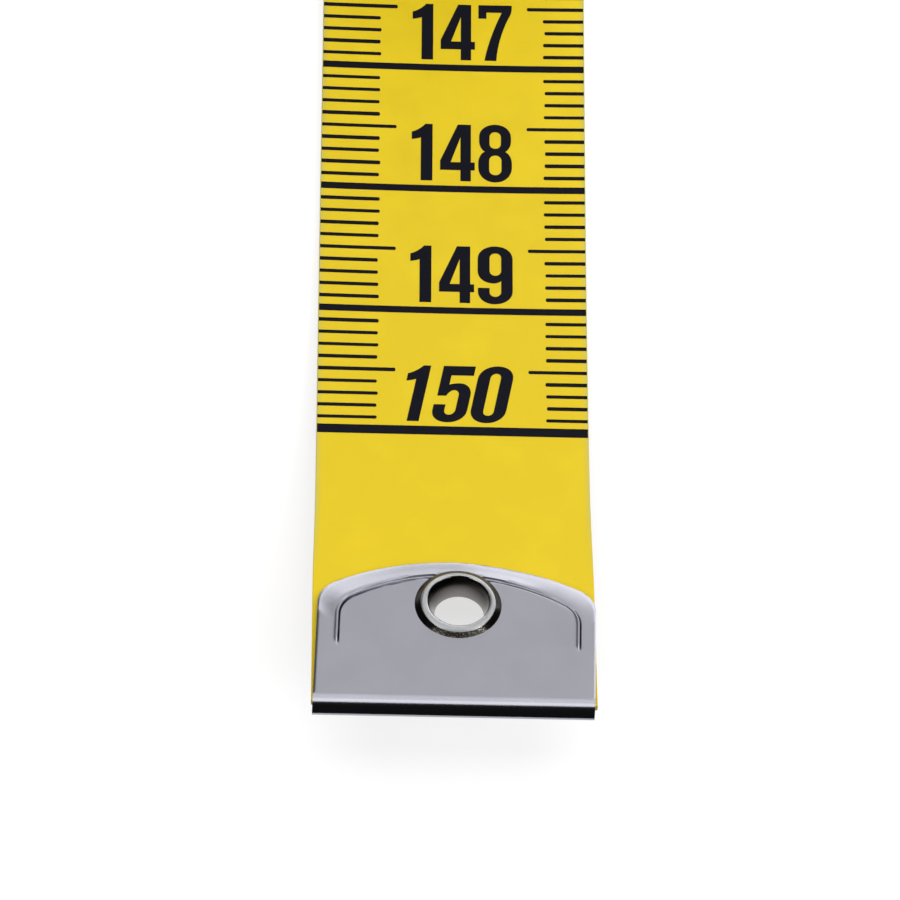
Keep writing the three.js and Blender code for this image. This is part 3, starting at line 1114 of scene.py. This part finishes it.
def border_fall(x, d):
    """How far the clip's edge lies below the plate, its border being bent back beyond the bead."""
    left_end = BORDER_LEFT_END * smooth(*BORDER_LEFT_END_SPAN, x)
    right_end = BORDER_RIGHT_END * smooth(*BORDER_RIGHT_END_SPAN, x)
    eased = BORDER_EYELET_EASE * bell(x, HOLE_X, BORDER_EYELET_WIDTH)
    slope = BORDER_SLOPE * (1 - eased + left_end + right_end)
    slope += BORDER_SLOPE_RIGHT * bell(x, BORDER_RIGHT_AT, BORDER_RIGHT_WIDTH)
    reach = BEAD_ARCH_RADIUS + BEAD_OUTER_REACH
    arch = BEAD_TOP - BEAD_ARCH_RADIUS + math.sqrt(reach**2 - (x - BEAD_SHIFT) ** 2)
    return slope * max(d - arch + BEAD_TILT * x, 0)


def border_height(share, x):
    """The border's rise to the bead: up to a crease, then steeper, but even at its ends."""
    bow = BORDER_BOW_LEFT if x < 0 else BORDER_BOW_RIGHT
    even = share + bow * share * (1 - share)
    part = share / BORDER_CREASE
    creased = BORDER_CREASE_RISE * part * (1 + BORDER_BOW * (1 - part))
    if share > BORDER_CREASE:
        creased = lerp(BORDER_CREASE_RISE, 1, (share - BORDER_CREASE) / (1 - BORDER_CREASE))
    return lerp(creased, even, smooth(*BORDER_EVEN_SPAN, abs(x)))


def bead_height(offset, x, facing_x, facing_d):
    """A ridge: filleted where it faces left, with a groove along its far and right sides."""
    top = lerp(RIDGE_HEIGHT, RIDGE_HEIGHT_SIDES, smooth(*RIDGE_SIDES_SPAN, abs(x)))
    fillet = FILLET_HEIGHT * max(-facing_x, 0)
    far = max(facing_d, 0) * (1 - smooth(*GROOVE_FAR_SPAN, abs(x)))
    right = smooth(*(GROOVE_FACING_FAR if facing_d > 0 else GROOVE_FACING_NEAR), facing_x)
    near = max(-facing_d, 0)
    groove = GROOVE_DEPTH * max(far, right * (1 - GROOVE_NEAR_LOSS * near))
    width = lerp(GROOVE_WIDTH, SLIT_WIDTH, max(smooth(*SLIT_SPAN, abs(x)), right))
    beyond = max(abs(offset) - RIDGE_HALF_FOOT, 0)
    ground = fillet * math.exp(-beyond / FILLET_LENGTH) - groove * max(1 - beyond / width, 0)
    slope = (abs(offset) - RIDGE_HALF_TOP) / (RIDGE_HALF_FOOT - RIDGE_HALF_TOP)
    return lerp(top, ground, min(max(slope, 0), 1))


def bead_share(x, d):
    """1 along the bead, 0 past its ends and under the eyelet."""
    return smooth(*BEAD_END_SPAN, d) * smooth(*BEAD_STOP_SPAN, from_eyelet(x, d))


def leaf_rows():
    """Rows (x, d, relief) of the upper leaf, from its edge over border and bead to the plate."""
    foot = beside_bead(BEAD_ROWS[0])
    falls = [border_fall(x, d) for x, d in outline]
    drops = [lerp(EDGE_DROP, EDGE_DROP_FAR, max(-into[1], 0)) for into in inward(outline)]
    rows = []
    for share in BORDER_ROWS:
        row = []
        for a, b, fall, drop in zip(outline, foot, falls, drops):
            height = fall * (border_height(share, a[0]) - 1)
            height -= drop * max(1 - share / EDGE_SHARE, 0)
            row.append((lerp(a[0], b[0], share), lerp(a[1], b[1], share), height))
        rows.append(row)
    for offset in BEAD_ROWS:
        side = math.copysign(1, offset)
        fade = smooth(BEAD_INNER_REACH, BEAD_INNER_REACH - BEAD_INNER_FADE, offset)
        row = []
        for (x, d, run), middle, into in zip(beside_bead(offset), bead, bead_inward):
            ridge = bead_height(run, middle[0], side * into[0], side * into[1])
            row.append((x, d, ridge * bead_share(*middle) * fade))
        rows.append(row)
    return rows


def leaf_mesh():
    """The sheet's outer face without its relief, and the relief at each point."""
    points = []
    relief = []
    faces = []

    def grid(columns):
        first = len(points)
        wide = len(columns[0])
        for column in columns:
            points.extend(skewed(x, d, n) for x, d, n, h in column)
            relief.extend(h for x, d, n, h in column)
        for j in range(len(columns) - 1):
            for i in range(wide - 1):
                a = first + j * wide + i
                faces.append((a, a + 1, a + wide + 1, a + wide))

    def flat(loops, height):
        first = len(points)
        corners, triangles = filled(loops)
        points.extend(skewed(x, d, height(d)) for x, d in corners)
        relief.extend(0.0 for corner in corners)
        faces.extend(tuple(first + i for i in face) for face in triangles)

    rows = leaf_rows()
    grid([[(x, d, leaf_height(d), h) for x, d, h in row] for row in rows])
    inner = [(x, d) for x, d, h in rows[-1]]
    left, right = inner[-1][0], inner[0][0]
    foot = inner[1][1]
    across = [lerp(left, right, i / FOLD_COLUMNS) for i in range(FOLD_COLUMNS + 1)]
    grid([[(x, d, leaf_height(d), 0.0) for x in across] for d in (FOLD_START, foot)])
    hole = arc(HOLE_X, EYELET_AT, EYELET_BORE + EYELET_WALL, 0, 2 * math.pi, EYELET_SIDES // 2)
    flat([inner[1:-1] + [(x, foot) for x in across[1:-1]], hole], leaf_height)

    columns = [row[-1][0] for row in rows[:-1]] + across
    columns += [row[0][0] for row in reversed(rows[:-1])]
    below = FOLD[-1][1]
    lower = [*FOLD, (FOLD_START, below)]
    grid([[(x, d, n, 0.0) for x in columns] for d, n in lower])
    flat([outline + [(x, FOLD_START) for x in columns[1:-1]], hole], lambda d: below)
    return points, faces, relief


def crease_corner():
    """Where the inner faces meet behind the crease, which is tighter than the sheet is thick."""
    radius, degrees = FOLD_CREASE
    start = math.radians(sum(bend[1] for bend in FOLD_BENDS))
    half = math.radians(degrees) / 2
    depth = (SHEET - radius) / math.cos(half)
    d = FOLD[CREASE][0] + radius * math.sin(start) + depth * math.sin(start + half)
    n = FOLD[CREASE][1] - radius * math.cos(start) - depth * math.cos(start + half)
    return d, n


def make_clip():
    points, faces, relief = leaf_mesh()
    piece = mesh_object("end_clip_folded", points, faces, SATIN)
    heights = piece.data.attributes.new("relief", "FLOAT", "POINT")
    heights.data.foreach_set("value", relief)
    bm = bmesh.new()
    bm.from_mesh(piece.data)
    bmesh.ops.remove_doubles(bm, verts=bm.verts, dist=TOUCHING * MM)
    bmesh.ops.recalc_face_normals(bm, faces=bm.faces)
    top = max(bm.faces, key=lambda face: face.calc_center_median().z)
    if top.normal.z < 0:
        bmesh.ops.reverse_faces(bm, faces=bm.faces)
    outer_count = len(bm.verts)
    bm.to_mesh(piece.data)
    bm.free()
    sheet = piece.modifiers.new("sheet", "SOLIDIFY")
    sheet.thickness = SHEET * MM
    sheet.offset = -1
    sheet.use_even_offset = True
    settle(piece, CLIP_SHARP_DEGREES)

    bm = bmesh.new()
    bm.from_mesh(piece.data)
    bm.verts.ensure_lookup_table()
    heights = bm.verts.layers.float["relief"]
    upward = Vector((0, -math.sin(laid_heading(0)), math.cos(laid_heading(0)))) * MM
    for vert in bm.verts[:outer_count]:
        vert.co += vert[heights] * upward
    route = bm.verts.layers.float_vector["route"]
    crease_low = FOLD[CREASE + FOLD_BEND_STEPS][1] - TOUCHING
    crease_high = FOLD[CREASE][1] + TOUCHING
    for vert in bm.verts[outer_count:]:
        if crease_low < vert[route].z < crease_high:
            vert.co = place(vert[route].x, *crease_corner())
    bmesh.ops.remove_doubles(bm, verts=bm.verts, dist=TOUCHING * MM)
    rounded = bm.edges.layers.float.new("bevel_weight_edge")
    axis = place(EYELET_X, EYELET_AT, 0)
    sharp = math.radians(CLIP_EDGE_DEGREES)
    for edge in bm.edges:
        middle = (edge.verts[0].co + edge.verts[1].co) / 2
        if edge.calc_face_angle(0) > sharp and (middle - axis).length > EYELET_RIM * MM:
            edge[rounded] = 1
    bm.to_mesh(piece.data)
    bm.free()
    edge = piece.modifiers.new("edge", "BEVEL")
    edge.width = CLIP_EDGE * MM
    edge.segments = CLIP_EDGE_SEGMENTS
    edge.limit_method = "WEIGHT"
    settle(piece, CLIP_SHARP_DEGREES)
    return piece


clip = make_clip()
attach(clip, "tip")
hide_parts("end_clip")


# The eyelet, turned from its section
def eyelet_section():
    """Radius, height over the plate and lean, from the rim over its crest and down the barrel."""
    deep = 2 * PLATE
    bore = EYELET_BORE
    throat = EYELET_THROAT
    outside = EYELET_BORE + EYELET_WALL
    crest = EYELET_CREST
    rim = EYELET_RIM
    flare = [
        (rim, -0.05), (rim, 0.0), (rim - 0.03, 0.035), (rim - 0.4, crest - 0.07),
        (rim - 0.425, crest - 0.045), (rim - 0.45, crest - 0.025), (rim - 0.49, crest - 0.012),
        (rim - 0.56, crest),
    ]
    barrel = [
        (rim - 0.67, crest - 0.002), (rim - 0.76, crest - 0.02), (rim - 0.825, crest - 0.055),
        (rim - 0.87, crest - 0.12), (bore + 0.04, crest - 0.25), (bore - 0.04, crest - 0.45),
        (bore - 0.12, crest - 0.7), (bore - 0.2, crest - 1), (bore - 0.27, crest - 1.35),
        (throat, -deep + 0.05), (throat + 0.03, -deep - 0.1), (throat + 0.15, -deep - 0.2),
    ]
    foot = [
        (bore + 0.4, -deep - 0.25), (bore + 0.65, -deep - 0.2), (bore + 0.72, -deep - 0.08),
        (bore + 0.7, -deep), (outside, -deep), (outside, -0.05),
    ]
    lean_x, lean_d = EYELET_LEAN
    section = [(radius, height, 0, 0) for radius, height in flare]
    for radius, height in barrel:
        leaning = lean_x * smooth(bore + EYELET_LEAN_FROM, throat, radius)
        section.append((radius, height, leaning, lean_d))
    return section + [(radius, height, 0, 0) for radius, height in foot]


def make_eyelet():
    section = eyelet_section()
    points = []
    faces = []
    for i in range(EYELET_SIDES):
        angle = 2 * math.pi * i / EYELET_SIDES
        for radius, height, lean_x, lean_d in section:
            x = EYELET_X + lean_x + radius * math.cos(angle)
            points.append((x, EYELET_AT + lean_d + radius * math.sin(angle), PLATE + height))
        faces += ring_faces(i, (i + 1) % EYELET_SIDES, len(section))
    return mesh_object("eyelet_turned", points, faces, EYELET_NICKEL)


eyelet = make_eyelet()
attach(eyelet, "tip")
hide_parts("eyelet")

start_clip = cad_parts["start_clip"]
start_clip.data.materials.clear()
start_clip.data.materials.append(START)


# Floor and light
FLOOR_SIZE = 12
FLOOR_DROP = 0.01
FLOOR_GREY = (0.42, 0.42, 0.42, 1)
FLOOR_GLOW = 0.66
WHITE = (1, 1, 1, 1)
SKY_SPAN = (-0.35, 0.35)
SKY_LEVELS = (0.012, 0.08)
LAMPS_AIM = Vector((0, -0.075, 0))

# Each soft box's place, width and height in metres, and its brightness, 1 being white
LAMPS = {
    "overhead back": ((0, 0.483, 0.903), 1.7, 0.46, 1.3),
    "overhead front": ((0, 0.06, 1.06), 1.7, 0.46, 2.0),
    "middle": ((0.31, 1.42, 1.13), 1.62, 1.06, 0.765),
    "behind": ((0.52, 1.42, 0.325), 2.45, 0.55, 2.75),
    "left": ((-0.82, -0.645, 0.8), 0.5, 0.35, 8.0),
    "right": ((0.82, -0.645, 0.8), 0.9, 0.5, 5.5),
}


def make_floor():
    """A grey floor that glows only where it is seen: it looks white but lights no more."""
    material, tree, shader = nodes_of(
        "floor", Roughness=0.9, Specular_IOR_Level=0.0, Base_Color=FLOOR_GREY, Emission_Color=WHITE
    )
    path = add(tree, "ShaderNodeLightPath")
    seen = path.outputs["Is Camera Ray"]
    for name in ("Is Glossy Ray", "Is Transmission Ray"):
        seen = calculated(tree, "MAXIMUM", seen, path.outputs[name])
    connect(tree, shader, Emission_Strength=product(tree, seen, FLOOR_GLOW))
    bpy.ops.mesh.primitive_plane_add(size=FLOOR_SIZE, location=(0, 0, -FLOOR_DROP * MM))
    floor = bpy.context.object
    floor.name = "floor"
    floor.data.materials.append(material)


def make_lamp(name, position, width, height, brightness):
    data = bpy.data.lights.new(name, "AREA")
    data.shape = "RECTANGLE"
    data.size = width
    data.size_y = height
    data.energy = brightness * math.pi * width * height
    lamp = bpy.data.objects.new(name, data)
    lamp.location = position
    lamp.rotation_mode = "QUATERNION"
    lamp.rotation_quaternion = (LAMPS_AIM - Vector(position)).to_track_quat("-Z", "Y")
    bpy.context.scene.collection.objects.link(lamp)


def make_world():
    world = bpy.data.worlds.new("studio")
    world.use_nodes = True
    tree = world.node_tree
    sky = tree.nodes["Background"]
    coordinates = add(tree, "ShaderNodeTexCoord")
    split = add(tree, "ShaderNodeSeparateXYZ")
    tree.links.new(coordinates.outputs["Generated"], split.inputs[0])
    tree.links.new(ramp(tree, split.outputs["Y"], SKY_SPAN, SKY_LEVELS), sky.inputs["Strength"])
    sky.inputs["Color"].default_value = WHITE
    bpy.context.scene.world = world


make_floor()
make_world()
for name, values in LAMPS.items():
    make_lamp(name, *values)
bpy.context.scene.view_settings.view_transform = "Standard"
